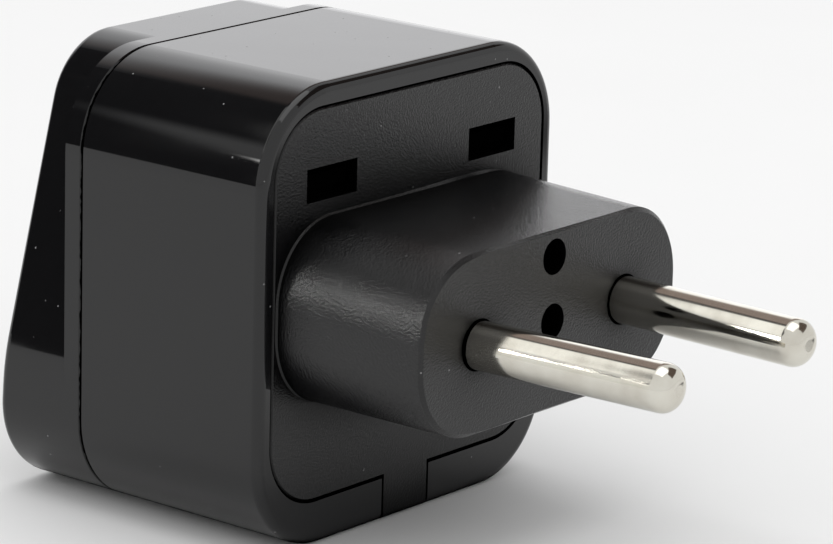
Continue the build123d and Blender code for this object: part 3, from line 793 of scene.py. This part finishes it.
card("back_wall", (-1.2, -0.45, 0.0), (2.1, 0, 0), (0, 0, 0.95), ROOM_DARK, windows=(
    ((-0.2, 0.54), (0.3, 1.2), 0.02, ROOM_BROWN),
    ((-0.2, 0.56), (-0.2, 0.526), 0.07, LOW_WINDOW),
    ((0.574, 0.582), (0.4, 0.8), 0.004, LIGHT_GAP),
))
card("side_wall", (0.27, -0.6, 0.0), (0, 0.403, 0), (0, 0, 0.1), ROOM_DARK)
card("side_reflector", (0.27, -0.197, 0.0), (0, 0.1, 0), (0, 0, 0.094), REFLECTOR)

# %% [markdown]
# ### Lamps that only reflections see
# The plug's pitted skin spreads a highlight over many times its size, so the lamp that it mirrors
# has to be small and very bright. The slanting card is for the case's rounded corner: dark towards
# the cover, a broad pale window towards the plate, and one narrow lamp for a line of light.

# %% Mirrored lamps
SIDE_LAMP = (50.0, 50.0, 49.0)
HIGH_LAMP = (42.0, 42.0, 41.0)
HIGH_WINDOW, HIGH_SHEEN = (1.3, 1.3, 1.28), (0.75, 0.75, 0.75)

card("side_lamp", (0.268, -0.195, 0.082), (0, 0.062, 0), (0, 0, 0.04), ROOM_DARK, windows=(
    ((0.15, 0.85), (0.15, 1.3), 0.12, SIDE_LAMP),
))
card("high_left", (0.245, -0.25, 0.108), (-0.245, 0, 0.162), (0, 0.17, 0), ROOM_DARK, windows=(
    ((0.05, 0.34), (0.40, 1.3), 0.08, HIGH_SHEEN),
    ((0.2, 0.93), (0.64, 1.3), 0.06, HIGH_WINDOW),
    ((-0.3, 0.07), (0.44, 0.66), 0.045, HIGH_LAMP),
))

# %% [markdown]
# ### Shades
# The rounded edges over the plate would mirror the white world as bright rims, so a dim card
# stands high up where they look. The plate and the plug's face mirror the floor beyond the plug,
# and a card that lies there carries a painted shadow of the plug: painted lit floor at its edges
# and painted shade in its middle, which keeps them as dark as the photograph has them.

# %% Shades
TOP_SHADE = (0.13, 0.1, 0.085)
LIT_FLOOR, SHADED_FLOOR = (0.93, 0.93, 0.93), (0.2, 0.2, 0.2)

card("far_dark", (-0.66, 0.12, 0.36), (0.42, 0.50, 0.0), (0.14, -0.12, 0.40), TOP_SHADE)
# Painted shadow: a floor card, seen only in reflections, painted lit at its edges and dark in its
# middle.
card("painted_plug_shadow", (-0.145, 0.072, 0.0004), (0.1, 0, 0), (0, 0.038, 0), LIT_FLOOR, windows=(
    ((0.2, 0.8), (0.2, 0.75), 0.2, SHADED_FLOOR),
))

# %% [markdown]
# ## Lamp and world
# A large softbox straight above gives the soft shadow under the adapter, and a white world fills
# the rest. Together they light a colour at about the level at which it is written, so nothing has
# to be corrected in the view settings.

# %% Lamp and world
OVERHEAD_PLACE = (0.0, 0.05, 0.75)
OVERHEAD_SIZE, OVERHEAD_WATTS = 0.6, 1.3
WORLD_STRENGTH = 0.9

lamp = bpy.data.lights.new("overhead", "AREA")
lamp.shape = "SQUARE"
lamp.size = OVERHEAD_SIZE
lamp.energy = OVERHEAD_WATTS
overhead = bpy.data.objects.new("overhead", lamp)
overhead.location = OVERHEAD_PLACE
bpy.context.scene.collection.objects.link(overhead)

world = bpy.data.worlds.new("studio")
bpy.context.scene.world = world
world.use_nodes = True
sky = world.node_tree.nodes["Background"]
sky.inputs["Color"].default_value = (1, 1, 1, 1)
sky.inputs["Strength"].default_value = WORLD_STRENGTH
bpy.context.scene.view_settings.view_transform = "Standard"
print("lit by", OVERHEAD_WATTS, "W from above and a world of strength", WORLD_STRENGTH)
